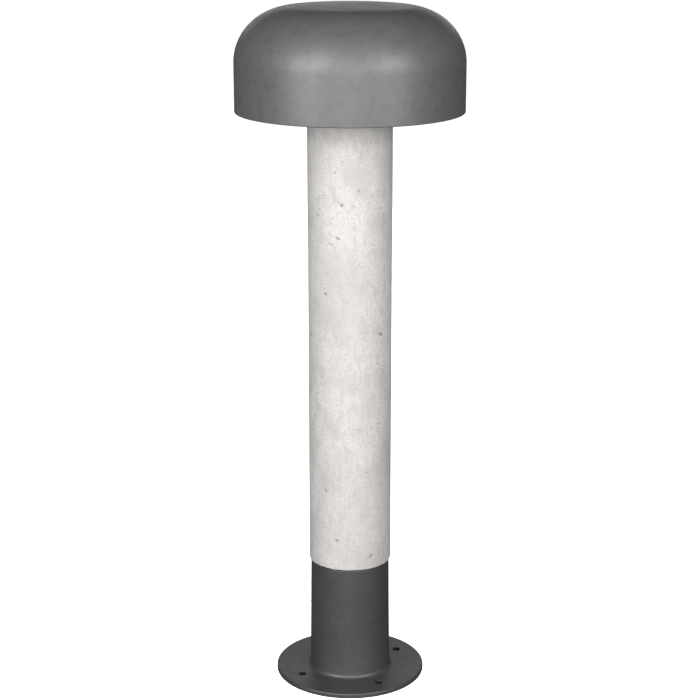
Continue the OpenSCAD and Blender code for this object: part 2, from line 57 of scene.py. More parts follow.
SLOTS = {row["node"]: row["material_slot"] for row in frame["record"]["subparts"]}
SHADE_NODES = [name for name in NODES if name.startswith("shade") and name != "shade_pillars"]


def box_of(names):
    """Lowest and highest corner of several CAD nodes together."""
    boxes = [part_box(name) for name in names]
    low = Vector([min(b[0][i] for b in boxes) for i in range(3)])
    high = Vector([max(b[1][i] for b in boxes) for i in range(3)])
    return low, high


# ---- camera, lights and floor ----

CAMERA_AT = (0.0, -1.9854, 0.9595)
CAMERA_PITCH = 74.323            # degrees; 90 would be level
CAMERA_LENS = 90.93              # on the default sensor, 36 mm wide
WHITE = (1.0, 1.0, 1.0)


def add_object(name, data):
    thing = bpy.data.objects.new(name, data)
    bpy.context.scene.collection.objects.link(thing)
    return thing


def make_camera():
    data = bpy.data.cameras.new("camera")
    data.lens = CAMERA_LENS
    data.clip_start = 0.05
    data.clip_end = 200
    camera = add_object("camera", data)
    camera.location = CAMERA_AT
    camera.rotation_euler = (math.radians(CAMERA_PITCH), 0, 0)
    bpy.context.scene.camera = camera


def softbox(name, azimuth, distance, height, size, power, aim):
    """Rectangular soft light, standing at an azimuth from the front and turned to a height on the axis."""
    data = bpy.data.lights.new(name, "AREA")
    data.shape = "RECTANGLE"
    data.size, data.size_y = size
    data.energy = power
    lamp = add_object(name, data)
    turn = math.radians(azimuth)
    lamp.location = (distance * math.sin(turn), -distance * math.cos(turn), height)
    lamp.visible_camera = False
    lamp.rotation_euler = (Vector((0, 0, aim)) - lamp.location).to_track_quat("-Z", "Y").to_euler()
    return lamp


KEY_POWER = 80                   # watts; every other light is a share of it
FILL_SHARE = 0.75                # the right side, against the left


def make_lights():
    """A low and a high softbox on either side, a low one and a level one in front, two behind."""
    for side, turn, share in (("key", -1, 1.0), ("fill", 1, FILL_SHARE)):
        power = KEY_POWER * share
        softbox(side + "_low", 40 * turn, 2.5, 1.1, (1.2, 1.2), power, 0.45)
        softbox(side + "_high", 30 * turn, 2.3, 2.1, (1.2, 1.2), power / 3, 0.45)
    softbox("front_low", 0, 2.4, 0.5, (0.5, 1.0), KEY_POWER * 0.3, 0.45)
    softbox("front_level", 0, 2.6, 1.3, (1.0, 0.8), KEY_POWER * 0.2, 0.45)
    softbox("backdrop_light", 180, 3.4, 1.3, (3.0, 0.5), KEY_POWER * 0.15, 0.75)
    rear = softbox("rear_light", 180, 2.8, 0.9, (1.4, 0.9), KEY_POWER * 0.6, 0.45)
    rear.visible_glossy = False
    world = bpy.data.worlds.new("studio")
    bpy.context.scene.world = world
    world.use_nodes = True
    background = world.node_tree.nodes["Background"]
    background.inputs["Color"].default_value = (*WHITE, 1)
    background.inputs["Strength"].default_value = 0.07
    bpy.context.scene.view_settings.view_transform = "Standard"


def make_floor():
    """Pale floor that curves up into a backdrop on every side."""
    flat, cove, steps = 14.0, 12.0, 96
    profile = [(flat, 0.0)]
    profile += [(flat + cove * math.sin(t), cove * (1 - math.cos(t)))
                for t in np.radians(np.linspace(6, 90, 15))]
    turns = 2 * np.pi * np.arange(steps) / steps
    corners = [(r * math.cos(t), r * math.sin(t), z) for r, z in profile for t in turns]
    faces = [tuple(range(steps))]
    for low in range(0, len(corners) - steps, steps):
        for k in range(steps):
            after = low + (k + 1) % steps
            faces.append((low + k, after, after + steps, low + k + steps))
    mesh = bpy.data.meshes.new("floor")
    mesh.from_pydata(corners, [], faces)
    floor = add_object("floor", mesh)
    paleness = Look("pale_floor", (0.9, 0.9, 0.9), 0.9, Specular_IOR_Level=0.1, Emission_Color=(*WHITE, 1),
                    Emission_Strength=1.0)
    mesh.materials.append(paleness.material)
    floor.visible_glossy = False
    floor.visible_diffuse = False
    floor.visible_shadow = False


# ---- materials ----

class Look:
    """A Principled material that is built up from procedural nodes. Texture scales are per metre."""

    def __init__(self, name, colour, roughness, **sockets):
        self.material = bpy.data.materials.new(name)
        self.material.use_nodes = True
        self.tree = self.material.node_tree
        self.shader = self.tree.nodes["Principled BSDF"]
        self.colour = (*colour, 1)
        self.normal = None
        self.feed(self.shader, {"Base Color": self.colour, "Roughness": roughness})
        self.feed(self.shader, {key.replace("_", " "): value for key, value in sockets.items()})
        self.place = self.add("ShaderNodeTexCoord").outputs["Object"]

    def feed(self, node, inputs):
        """Gives a node's inputs their values, or the output of another node."""
        for key, value in inputs.items():
            if isinstance(value, bpy.types.NodeSocket):
                self.tree.links.new(value, node.inputs[key])
            else:
                node.inputs[key].default_value = value

    def add(self, kind, inputs=None, **settings):
        node = self.tree.nodes.new(kind)
        for key, value in settings.items():
            setattr(node, key, value)
        self.feed(node, inputs or {})
        return node

    def noise(self, scale, detail=4, stretch=None):
        """Noise in object coordinates, which may be scaled along each axis."""
        where = self.place
        if stretch:
            where = self.add("ShaderNodeMapping", {"Scale": stretch, "Vector": where}).outputs["Vector"]
        inputs = {"Scale": scale, "Detail": detail, "Roughness": 0.55, "Vector": where}
        return self.add("ShaderNodeTexNoise", inputs).outputs["Fac"]

    def cells(self, scale, output="Distance"):
        return self.add("ShaderNodeTexVoronoi", {"Scale": scale, "Vector": self.place}).outputs[output]

    def wave(self, scale, direction, distortion):
        inputs = {"Scale": scale, "Distortion": distortion, "Vector": self.place}
        return self.add("ShaderNodeTexWave", inputs, bands_direction=direction).outputs["Fac"]

    def edges(self):
        """Grows towards the piece's outer edges."""
        return self.ramp(self.add("ShaderNodeNewGeometry").outputs["Pointiness"], 0.52, 0.60)

    def height(self):
        """Height in the CAD frame."""
        return self.add("ShaderNodeSeparateXYZ", {"Vector": self.place}).outputs["Z"]

    def attribute(self, name):
        return self.add("ShaderNodeAttribute", attribute_name=name).outputs["Fac"]

    def ramp(self, source, low, high, start=0.0, end=1.0):
        """A value that goes from start to end as the source goes from low to high."""
        inputs = {"Value": source, "From Min": low, "From Max": high, "To Min": start, "To Max": end}
        return self.add("ShaderNodeMapRange", inputs, interpolation_type="SMOOTHSTEP").outputs["Result"]

    def times(self, first, second):
        return self.add("ShaderNodeMath", {0: first, 1: second}, operation="MULTIPLY").outputs["Value"]

    def tint(self, factor, colour):
        """Mixes the colour so far towards another where the factor is high."""
        inputs = {"Factor": factor, 6: self.colour, 7: (*colour, 1)}
        self.colour = self.add("ShaderNodeMix", inputs, data_type="RGBA").outputs[2]
        self.feed(self.shader, {"Base Color": self.colour})
        return self

    def veil(self, source, low, high, weight, colour):
        """Tints by up to the weight as the source goes from low to high."""
        return self.tint(self.ramp(source, low, high, 0.0, weight), colour)

    def rough(self, source, low, high):
        """Roughness that follows a noise from low to high."""
        self.feed(self.shader, {"Roughness": self.ramp(source, 0.3, 0.7, low, high)})
        return self

    def bump(self, source, height):
        """Relief of that height in metres, added to what is there already."""
        inputs = {"Distance": height, "Height": source}
        if self.normal is not None:
            inputs["Normal"] = self.normal
        self.normal = self.add("ShaderNodeBump", inputs).outputs["Normal"]
        self.feed(self.shader, {"Normal": self.normal})
        return self


def shade_of(colour, factor):
    return tuple(min(1.0, channel * factor) for channel in colour)


def powder_coat(name, colour, roughness, grain):
    """Baked powder paint: fine orange peel, a slightly uneven film and rubbed edges."""
    look = Look(name, colour, roughness, Specular_IOR_Level=0.5)
    return paint(look, colour, roughness, grain, 1.25)


def paint(look, colour, roughness, grain, contrast):
    """Grain, clouds, pinholes and rubbed edges, as thin veils over the coat's own colour."""
    pale, dark = shade_of(colour, contrast), shade_of(colour, 1 / contrast)
    look.veil(look.noise(9, 4), 0.35, 0.65, 0.09, pale)
    look.veil(look.noise(110, 4), 0.46, 0.66, 0.16, dark)
    look.veil(look.noise(900, 3), 0.50, 0.68, 0.24, pale)
    look.veil(look.cells(800), 0.12, 0.0, 0.6, dark)
    look.tint(look.times(look.edges(), look.ramp(look.noise(60), 0.45, 0.7, 0.0, 0.3)), pale)
    look.rough(look.noise(25, 5), roughness - 0.03, roughness + 0.04)
    look.bump(look.noise(900, 3), grain)
    return look.bump(look.noise(160, 2), grain * 2.5)


def anthracite_coat(name):
    """Anthracite powder paint. The head's is a tone paler than the base's, and the anchor holes are painted
    near black inside as painted shade."""
    look = Look(name, ANTHRACITE, 0.46, Specular_IOR_Level=0.5)
    look.veil(look.height(), 0.30, 0.60, 1.0, HEAD_TONE)
    paint(look, ANTHRACITE, 0.46, 0.00003, 3.0)
    # painted shade: points marked inside the anchor holes are tinted near black
    return look.tint(look.attribute("hollow"), (0.004, 0.004, 0.004))


def concrete(name):
    """Fair-faced concrete: soft cloudy tones, fine streaks, blown pores, pinholes and a sandy grain."""
    look = Look(name, CONCRETE, 0.88, Specular_IOR_Level=0.3)
    look.veil(look.noise(11, 5, (1, 1, 0.55)), 0.38, 0.62, 1.0, shade_of(CONCRETE, 1.1))
    look.veil(look.noise(26, 6, (1, 1, 0.8)), 0.46, 0.66, 0.8, shade_of(CONCRETE, 0.85))
    look.veil(look.noise(120, 5, (1, 1, 0.5)), 0.48, 0.68, 0.75, shade_of(CONCRETE, 0.85))
    look.veil(look.noise(420, 3), 0.52, 0.68, 0.75, shade_of(CONCRETE, 0.8))
    look.veil(look.noise(300, 4, (1, 1, 0.12)), 0.54, 0.70, 0.5, shade_of(CONCRETE, 0.8))
    look.veil(look.noise(950, 3), 0.50, 0.64, 0.6, shade_of(CONCRETE, 0.8))
    speck = look.ramp(look.cells(210), 0.22, 0.10)
    rare = look.ramp(look.noise(75, 2), 0.50, 0.56)
    look.tint(look.times(look.times(speck, rare), 0.75), shade_of(CONCRETE, 0.45))
    # painted shade: the blown pores are tinted darker the deeper they are
    look.tint(look.times(look.attribute("hollow"), 0.8), shade_of(CONCRETE, 0.35))
    look.rough(look.noise(60, 4), 0.82, 0.95)
    look.bump(look.noise(700, 4), 0.00012)
    look.bump(look.noise(90, 5), 0.00022)
    return look.bump(look.ramp(look.cells(190), 0.07, 0.16), 0.00012)


def opal_plastic(name, colour, roughness):
    """Milky translucent plastic with faint moulding ripples."""
    look = Look(name, colour, roughness, Subsurface_Weight=0.45, Subsurface_Scale=0.006,
                Coat_Weight=0.25, Coat_Roughness=0.18)
    look.veil(look.noise(22, 3), 0.4, 0.65, 0.6, shade_of(colour, 0.965))
    look.veil(look.noise(500, 2), 0.62, 0.72, 0.25, shade_of(colour, 0.85))
    look.rough(look.noise(40, 3), roughness - 0.05, roughness + 0.07)
    return look.bump(look.noise(70, 2), 0.00005)


def moulded_plastic(name, colour, roughness, grain=0.00003):
    """Plain moulded plastic with a fine spark-eroded grain."""
    look = Look(name, colour, roughness)
    look.veil(look.noise(30, 4), 0.4, 0.65, 0.6, shade_of(colour, 0.9))
    look.tint(look.times(look.edges(), 0.4), shade_of(colour, 1.5))
    look.rough(look.noise(80, 4), roughness - 0.06, roughness + 0.08)
    return look.bump(look.noise(1600, 2), grain)


def zinc_plate(name):
    """Zinc-plated steel: faint grey clouds, fine drawing lines and dull spots."""
    colour = (0.38, 0.387, 0.40)
    look = Look(name, colour, 0.32, Metallic=1.0)
    look.veil(look.noise(60, 5), 0.42, 0.68, 0.8, (0.29, 0.297, 0.31))
    look.veil(look.cells(420, "Color"), 0.3, 0.9, 0.3, (0.45, 0.45, 0.457))
    look.tint(look.times(look.edges(), 0.6), (0.50, 0.50, 0.507))
    look.rough(look.noise(130, 5), 0.24, 0.44)
    return look.bump(look.noise(900, 3, (1, 1, 0.1)), 0.000012)


def turned_metal(name, colour, roughness, ridges):
    """Metal from a lathe: fine rings along Z, slight tarnish, bright edges."""
    look = Look(name, colour, roughness, Metallic=1.0)
    look.veil(look.noise(45, 5), 0.45, 0.72, 0.7, shade_of(colour, 0.72))
    look.tint(look.times(look.edges(), 0.5), shade_of(colour, 1.2))
    look.rough(look.noise(90, 4), roughness - 0.07, roughness + 0.10)
    return look.bump(look.noise(ridges, 2, (0.02, 0.02, 1)), 0.000015)


def rubber(name, colour, roughness):
    look = Look(name, colour, roughness, Specular_IOR_Level=0.35)
    look.veil(look.noise(50, 5), 0.4, 0.7, 0.6, shade_of(colour, 1.5))
    look.veil(look.noise(900, 2), 0.6, 0.72, 0.4, shade_of(colour, 2.0))
    look.rough(look.noise(70, 4), roughness - 0.08, roughness + 0.08)
    return look.bump(look.noise(1300, 3), 0.00003)


def silicone(name):
    colour = (0.34, 0.34, 0.33)
    look = Look(name, colour, 0.45, Subsurface_Weight=0.5, Subsurface_Scale=0.004)
    look.veil(look.noise(40, 4), 0.4, 0.7, 0.6, shade_of(colour, 0.88))
    look.rough(look.noise(60, 3), 0.38, 0.52)
    return look.bump(look.noise(300, 3), 0.00004)


def porcelain(name):
    """White glaze over a slightly wavy body, with a few pinholes."""
    colour = (0.41, 0.407, 0.397)
    look = Look(name, colour, 0.16, Subsurface_Weight=0.15, Subsurface_Scale=0.002,
                Coat_Weight=0.8, Coat_Roughness=0.05)
    look.veil(look.noise(35, 3), 0.4, 0.7, 0.7, (0.37, 0.365, 0.35))
    look.veil(look.cells(160), 0.045, 0.02, 0.7, (0.17, 0.155, 0.135))
    look.rough(look.noise(60, 3), 0.12, 0.22)
    return look.bump(look.noise(120, 2), 0.00008)


def two_colour_wire(name):
    """Green insulation with a yellow stripe winding round it."""
    look = Look(name, (0.09, 0.30, 0.06), 0.42)
    look.veil(look.wave(55, "DIAGONAL", 2.0), 0.60, 0.64, 1.0, (0.72, 0.62, 0.05))
    look.veil(look.noise(200, 3), 0.5, 0.8, 0.4, (0.06, 0.2, 0.04))
    look.rough(look.noise(300, 3), 0.36, 0.5)
    return look.bump(look.noise(1500, 2), 0.00002)


ANTHRACITE = (0.026, 0.0255, 0.0255)
HEAD_TONE = (0.060, 0.057, 0.057)
CONCRETE = (0.33, 0.32, 0.31)

LOOKS = {name: maker(name, *settings).material for maker, name, *settings in (
    (anthracite_coat, "anthracite_coat"),
    (powder_coat, "white_coat", (0.40, 0.40, 0.39), 0.38, 0.000012),
    (concrete, "concrete"),
    (opal_plastic, "opal_cover", (0.43, 0.425, 0.41), 0.33),
    (opal_plastic, "lamp_opal", (0.44, 0.432, 0.415), 0.38),
    (moulded_plastic, "lamp_white", (0.38, 0.38, 0.375), 0.34),
    (moulded_plastic, "white_plastic", (0.37, 0.37, 0.355), 0.5),
    (moulded_plastic, "black_plastic", (0.022, 0.022, 0.024), 0.46),
    (zinc_plate, "zinc_steel"),
    (turned_metal, "pillar_aluminium", (0.46, 0.467, 0.475), 0.30, 2600),
    (turned_metal, "brass", (0.52, 0.36, 0.14), 0.27, 2200),
    (rubber, "black_rubber", (0.018, 0.018, 0.019), 0.75),
    (rubber, "black_flex", (0.016, 0.016, 0.017), 0.6),
    (silicone, "silicone"),
    (porcelain, "porcelain"),
    (moulded_plastic, "core_brown", (0.13, 0.055, 0.025), 0.4),
    (two_colour_wire, "core_earth"),
)}


# ---- shapes ----

def arc(centre, across, up, start, end, count):
    """Points of an elliptical arc in (r, z), between two angles in degrees."""
    turns = np.radians(np.linspace(start, end, count))
    return [(centre[0] + across * math.cos(t), centre[1] + up * math.sin(t)) for t in turns]


def rounded(*corners, count=5):
    """Closed outline through (r, z, fillet) corners. A corner without a fillet stays sharp."""
    points = []
    for i, corner in enumerate(corners):
        here = Vector(corner[:2])
        fillet = corner[2] if len(corner) > 2 else 0.0
        if not fillet:
            points.append(tuple(here))
            continue
        back = (Vector(corners[i - 1][:2]) - here).normalized()
        ahead = (Vector(corners[(i + 1) % len(corners)][:2]) - here).normalized()
        half = back.angle(ahead) / 2
        middle = (back + ahead).normalized() * (fillet / math.sin(half))
        first = back * (fillet / math.tan(half)) - middle
        last = ahead * (fillet / math.tan(half)) - middle
        bend = first.angle(last)
        for step in range(count):
            t = step / (count - 1)
            spoke = (first * math.sin((1 - t) * bend) + last * math.sin(t * bend)) / math.sin(bend)
            points.append(tuple(here + middle + spoke))
    return points


def band(inner, outer, low, high, fillets, count=5):
    """Outline of a ring. Its fillets go round from the inner lower corner to the inner upper one."""
    return rounded(*zip((inner, outer, outer, inner), (low, low, high, high), fillets), count=count)


def clean(outline):
    """The outline without a point that repeats the one before it."""
    return [p for p, q in zip(outline, outline[-1:] + outline[:-1]) if math.dist(p, q) > 1e-7]


def lathe(outline, steps=96, centre=(0.0, 0.0), reshape=None):
    """Shell of a closed (r, z) outline turned about an upright axis.
    reshape(angle, r, z) gives the radius of each point; points on the axis stay there."""
    outline = np.array(clean(outline), float)
    r, z = outline[:, 0], outline[:, 1]
    if np.sum(r * np.roll(z, -1) - np.roll(r, -1) * z) < 0:
        r, z = r[::-1], z[::-1]
    angle = 2 * np.pi * np.arange(steps) / steps
    radius = np.repeat(r[:, None], steps, 1)
    if reshape:
        radius = reshape(angle[None, :], r[:, None], z[:, None]) + 0 * radius
    x = centre[0] + radius * np.cos(angle)
    y = centre[1] + radius * np.sin(angle)
    vertices, rings = [], []
    for i in range(len(r)):
        if r[i] < 1e-9:
            rings.append([len(vertices)] * steps)
            vertices.append((centre[0], centre[1], z[i]))
        else:
            rings.append(list(range(len(vertices), len(vertices) + steps)))
            vertices.extend(zip(x[i], y[i], [z[i]] * steps))
    faces = []
    for low, high in zip(rings, rings[1:] + rings[:1]):
        for k in range(steps):
            after = (k + 1) % steps
            face = list(dict.fromkeys((low[k], low[after], high[after], high[k])))
            if len(face) > 2:
                faces.append(face)
    return vertices, faces


def rod(radius, low, high, centre=(0.0, 0.0), steps=48):
    return lathe([(0, low), (radius, low), (radius, high), (0, high)], steps, centre)


def rods(radius, low, high, centres):
    return [rod(radius, low, high, c) for c in centres]


def prism(outline, low, high, axis="Z"):
    """Shell of a plane outline pushed from low to high along Z, or, drawn in (x, z), along Y."""
    points = [tuple(p[:2]) for p in outline]
    area = sum(a[0] * b[1] - b[0] * a[1] for a, b in zip(points, points[1:] + points[:1]))
    if (area < 0) == (axis == "Z"):
        points.reverse()
    if axis == "Z":
        vertices = [(x, y, z) for z in (low, high) for x, y in points]
    else:
        vertices = [(x, y, z) for y in (low, high) for x, z in points]
    n = len(points)
    faces = [list(range(n - 1, -1, -1)), list(range(n, 2 * n))]
    faces += [[k, (k + 1) % n, n + (k + 1) % n, n + k] for k in range(n)]
    return vertices, faces


def block(low, high):
    corners = [(low[0], low[1]), (high[0], low[1]), (high[0], high[1]), (low[0], high[1])]
    return prism(corners, low[2], high[2])


def around(radius, degrees):
    """Centres on a circle about the axis."""
    return [(radius * math.cos(math.radians(a)), radius * math.sin(math.radians(a))) for a in degrees]


def solid(name, *shells):
    """One mesh object from closed shells."""
    vertices, faces = [], []
    for points, corners in shells:
        faces += [[i + len(vertices) for i in face] for face in corners]
        vertices += points
    mesh = bpy.data.meshes.new(name)
    mesh.from_pydata(vertices, [], faces)
    return add_object(name + "_piece", mesh)


def bake_modifiers(piece):
    graph = bpy.context.evaluated_depsgraph_get()
    mesh = bpy.data.meshes.new_from_object(piece.evaluated_get(graph))
    piece.modifiers.clear()
    piece.data = mesh


def combine(piece, operation, shells):
    """Cuts shells from a piece (DIFFERENCE) or welds them on (UNION)."""
    tool = solid("tool", *shells)
    modifier = piece.modifiers.new("combine", "BOOLEAN")
    modifier.operation = operation
    modifier.solver = "EXACT"
    modifier.object = tool
    bake_modifiers(piece)
    bpy.data.objects.remove(tool)


def soften(piece, width):
    """Small round edges wherever two faces meet sharply."""
    modifier = piece.modifiers.new("soft_edges", "BEVEL")
    modifier.width = width
    modifier.segments = 2
    modifier.limit_method = "ANGLE"
    modifier.angle_limit = math.radians(38)
    modifier.harden_normals = True


def close_up(piece):
    """Merges points that coincide and drops faces without an area, so that the mesh is closed."""
    shell = bmesh.new()
    shell.from_mesh(piece.data)
    bmesh.ops.remove_doubles(shell, verts=shell.verts, dist=0.001 * MM)
    bmesh.ops.dissolve_degenerate(shell, edges=shell.edges, dist=0.001 * MM)
    shell.to_mesh(piece.data)
    shell.free()


def place(piece, *nodes, body="root", edge=0.0):
    """Finishes a piece: soft edges, smooth shading, its body, the CAD nodes it stands for and their look."""
    slot = SLOTS[nodes[0]]
    if edge:
        soften(piece, edge)
        bake_modifiers(piece)
    close_up(piece)
    piece.data.name = piece.name
    piece.data.shade_smooth()
    piece.data.set_sharp_from_angle(angle=math.radians(38))
    weighting = piece.modifiers.new("even_normals", "WEIGHTED_NORMAL")
    weighting.keep_sharp = True
    bake_modifiers(piece)
    piece.data.materials.clear()
    piece.data.materials.append(LOOKS[slot])
    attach(piece, body)
    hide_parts(*nodes)
    return piece


def hex_reshape(across_flats):
    """Reshape that cuts a round outline down to a hexagon, with corners at 0, 60 and so on."""
    def reshape(angle, r, z):
        turn = np.mod(angle, np.pi / 3) - np.pi / 6
        return np.minimum(r + 0 * angle, across_flats / 2 / np.cos(turn))
    return reshape


def turned(node, outline, steps, body="root", reshape=None, centres=((0.0, 0.0),)):
    """Piece made on the lathe, once or at several centres, standing for one CAD node."""
    return place(solid(node, *[lathe(outline, steps, c, reshape) for c in centres]), node, body=body)


def ring(node, inner, fillet, body="root"):
    """Plain ring with rounded edges, as high and as wide as its CAD node."""
    low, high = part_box(node)
    turned(node, band(inner, high.x, low.z, high.z, [fillet] * 4), 160, body)


def nuts(node, across_flats, bore, centres=((0.0, 0.0),)):
    """Nuts whose corners are chamfered by a cone at both ends, with a countersunk bore."""
    low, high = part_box(node)
    corner, face = across_flats / math.sqrt(3), across_flats / 2 * 0.94
    drop, sink = (corner - face) * 0.5, 0.06 * across_flats
    outline = [(bore, low.z + sink), (bore + sink, low.z)]
    outline += [(face + (corner - face) * t, low.z + drop * t) for t in np.linspace(0, 1, 6)]
    outline += [(r, low.z + high.z - z) for r, z in reversed(outline)]
    turned(node, outline, 96, reshape=hex_reshape(across_flats), centres=centres)


def thread(radius, depth, pitch):
    """Reshape that rolls a right-hand thread into what has that radius."""
    def reshape(angle, r, z):
        wave = 0.5 - 0.5 * np.cos(2 * np.pi * (z / pitch - angle / (2 * np.pi)))
        return np.where(np.abs(r - radius) < 1e-6, r - depth * wave, r + 0 * angle)
    return reshape


def wall(radius, low, high, step):
    """Outline points up a wall, about one step apart."""
    return [(radius, z) for z in np.linspace(low, high, max(2, int(round((high - low) / step)) + 1))]


SCREW_SHANK = 2 * MM
SCREW_HEAD_H = 2.5 * MM
RECESS_WIDE, RECESS_DEEP, RECESS_TURN = 0.9 * MM, 1.2 * MM, 17


def cheese_screw(centre, seat, length, head, up):
    """Shell of a screw seated at a height. It points up, its head below, or down with up = -1."""
    tall, tip = SCREW_HEAD_H, 0.5 * MM
    profile = rounded((0, -tall), (head, -tall, tall * 0.28), (head, 0, tall * 0.06), (SCREW_SHANK, 0))
    profile += [(SCREW_SHANK, length - tip), (SCREW_SHANK - tip, length), (0, length)]
    return lathe([(r, seat + up * z) for r, z in profile], 64, centre)


def cross_slot(centre, face, head, up):
    """Shell of a cross recess to cut into a screw's head."""
    reach, half = head * 0.62, RECESS_WIDE / 2
    plan = []
    for turn in np.radians([RECESS_TURN + quarter for quarter in (0, 90, 180, 270)]):
        for u, v in ((reach, -half), (reach, half), (half, half)):
            plan.append((centre[0] + u * math.cos(turn) - v * math.sin(turn),
                         centre[1] + u * math.sin(turn) + v * math.cos(turn)))
    ends = (face - up * 0.2 * MM, face + up * RECESS_DEEP)
    return prism(plan, min(ends), max(ends))


def screws(node, centres, seat, length, head, up, body="root"):
    piece = solid(node, *[cheese_screw(c, seat, length, head, up) for c in centres])
    combine(piece, "DIFFERENCE", [cross_slot(c, seat - up * SCREW_HEAD_H, head, up) for c in centres])
    place(piece, node, body=body)


def smooth_route(points, count):
    """Catmull-Rom curve through a route's points."""
    route = [Vector(p) for p in points]
    line = []
    for i in range(len(route) - 1):
        a, b = route[max(i - 1, 0)], route[i]
        c, d = route[i + 1], route[min(i + 2, len(route) - 1)]
        for k in range(count):
            t = k / count
            line.append(0.5 * (2 * b + (c - a) * t + (2 * a - 5 * b + 4 * c - d) * t ** 2
                               + (3 * b - a - 3 * c + d) * t ** 3))
    return line + [route[-1]]


def cable(name, radius, *routes):
    """Round cables along routes given in millimetres, as one mesh."""
    curve = bpy.data.curves.new(name, "CURVE")
    curve.dimensions = "3D"
    curve.bevel_depth = radius
    curve.bevel_resolution = 5
    curve.use_fill_caps = True
    for route in routes:
        line = smooth_route(route, 6)
        spline = curve.splines.new("POLY")
        spline.points.add(len(line) - 1)
        for point, where in zip(spline.points, line):
            point.co = (*(where * MM), 1)
    holder = add_object(name + "_curve", curve)
    graph = bpy.context.evaluated_depsgraph_get()
    mesh = bpy.data.meshes.new_from_object(holder.evaluated_get(graph))
    bpy.data.objects.remove(holder)
    place(add_object(name + "_piece", mesh), name)


# ---- sizes ----

SKIRT_H = 55 * MM
SHOULDER_W = 67 * MM
DOME_SLOPE = 3.5                 # degrees, where the dome meets the shoulder
SHADE_WALL = 3 * MM
DOME_RISE = 2 * MM               # the shoulder's ellipse ends this far below the top
THREE_SIDES = (90, 210, 330)
BETWEEN_SIDES = (30, 150, 270)
ROD_SPOTS = around(28.5 * MM, THREE_SIDES)
ROD_HOLE = 3.3 * MM
SPIGOT_IN, SPIGOT_OUT = 30.5 * MM, 32.7 * MM

shade_low, shade_high = box_of(SHADE_NODES)
post_low, post_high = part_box("concrete_post")
base_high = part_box("base_casting")[1]


# ---- head ----

PILLAR_RING = 95 * MM
PILLAR_SPOTS = around(PILLAR_RING, THREE_SIDES)
RING_SCREW_SPOTS = around(62.6 * MM, BETWEEN_SIDES)
STRAP_SCREW_SPOTS = [(-28 * MM, 0), (28 * MM, 0)]
RING_BOSS_LOW = 790 * MM         # underside of the bosses for the ring's screws
PILLAR_BOSS_LOW = 772 * MM       # and of those for the pillars
RING_TAP = (789 * MM, 795 * MM)  # tapped holes, from and to
PILLAR_TAP = (771 * MM, 780.5 * MM)
M5_PITCH = 0.8 * MM
CAP_PITCH = 3.64 * MM
CLEAR_HOLE = 2.25 * MM           # radius of a clearance hole for the small screws
TAP_HOLE = 2.05 * MM             # and of their tapped hole
PAST = 1 * MM                    # how far a cutting shape runs past a face


def make_shade():
    """The metal shell: skirt, elliptical shoulder and faintly domed top, with bosses inside."""
    radius, rim, top = shade_high.x, shade_low.z, shade_high.z
    skirt_top = rim + SKIRT_H
    inner_edge = radius - SHOULDER_W
    rise = top - skirt_top - DOME_RISE
    end = math.degrees(math.atan(rise / (SHOULDER_W * math.tan(math.radians(DOME_SLOPE)))))
    shoulder = arc((inner_edge, skirt_top), SHOULDER_W, rise, 0, end, 72)
    edge_r, edge_z = shoulder[-1]
    dome = [(edge_r * t, top - (top - edge_z) * t * t) for t in np.linspace(1, 0, 20)[1:]]
    inside = arc((inner_edge, skirt_top), SHOULDER_W - SHADE_WALL, rise - SHADE_WALL, 90, 0, 48)
    ceiling = inside[0][1]
    inner_r = radius - SHADE_WALL
    lip = rounded((inner_r, skirt_top), (inner_r, rim, 0.8 * MM), (radius, rim, 1.2 * MM),
                  (radius, skirt_top), count=7)[1:-1]
    upright = wall(radius, rim + 6 * MM, skirt_top, 6 * MM)[:-1]
    outline = lip + upright + shoulder + dome + [(0, ceiling)] + inside
    shade = solid("shade", lathe(outline, 320))
    tall = rods(4.4 * MM, RING_BOSS_LOW, ceiling + PAST, RING_SCREW_SPOTS)
    boss = band(0, 8 * MM, PILLAR_BOSS_LOW, RING_BOSS_LOW, (0, 0.8 * MM, 0, 0))
    trimmed = solid("bosses", *[lathe(boss, 64, c) for c in PILLAR_SPOTS])
    skin = SHADE_WALL - PAST
    limit = arc((inner_edge, skirt_top), SHOULDER_W - skin, rise - skin, 90, 0, 48)
    combine(trimmed, "INTERSECT", [lathe([(0, skirt_top), (0, limit[0][1])] + limit, 160)])
    bosses = ([tuple(v.co) for v in trimmed.data.vertices], [list(f.vertices) for f in trimmed.data.polygons])
    bpy.data.objects.remove(trimmed)
    combine(shade, "UNION", tall + [bosses])
    holes = rods(TAP_HOLE, *RING_TAP, RING_SCREW_SPOTS) + rods(2.55 * MM, *PILLAR_TAP, PILLAR_SPOTS)
    combine(shade, "DIFFERENCE", holes)
    place(shade, *SHADE_NODES, body="head")


def make_diffuser():
    """Opal tube with a flange at its top, held in the head by a ring and three screws."""
    low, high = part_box("diffuser")
    flange_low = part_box("diffuser_ring")[1].z
    outer, inner = 52.5 * MM, 50 * MM
    outline = rounded((inner, low.z, 0.9 * MM), (outer, low.z, 0.9 * MM), (outer, flange_low, 1.2 * MM),
                      (high.x, flange_low, 0.5 * MM), (high.x, high.z, 0.5 * MM), (inner, high.z, 0.8 * MM))
    turned("diffuser", outline, 200, "head")

    low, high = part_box("diffuser_ring")
    inner, edge = outer + 0.5 * MM, 0.7 * MM
    outline = band(inner, high.x, low.z, high.z, (edge, edge, 0.3 * MM, 0.3 * MM))
    piece = solid("diffuser_ring", lathe(outline, 200))
    combine(piece, "DIFFERENCE", rods(CLEAR_HOLE, low.z - PAST, high.z + PAST, RING_SCREW_SPOTS))
    place(piece, "diffuser_ring", body="head")
    screws("ring_screws", RING_SCREW_SPOTS, low.z, 7 * MM, 4 * MM, 1, "head")


def make_reflector():
    low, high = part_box("reflector_disc")
    outline = band(0, high.x, low.z, high.z, (0, 0.3 * MM, 0.3 * MM, 0))
    turned("reflector_disc", outline, 160, "head")
    ring("diffuser_top_seal", 50 * MM, 0.5 * MM, "head")


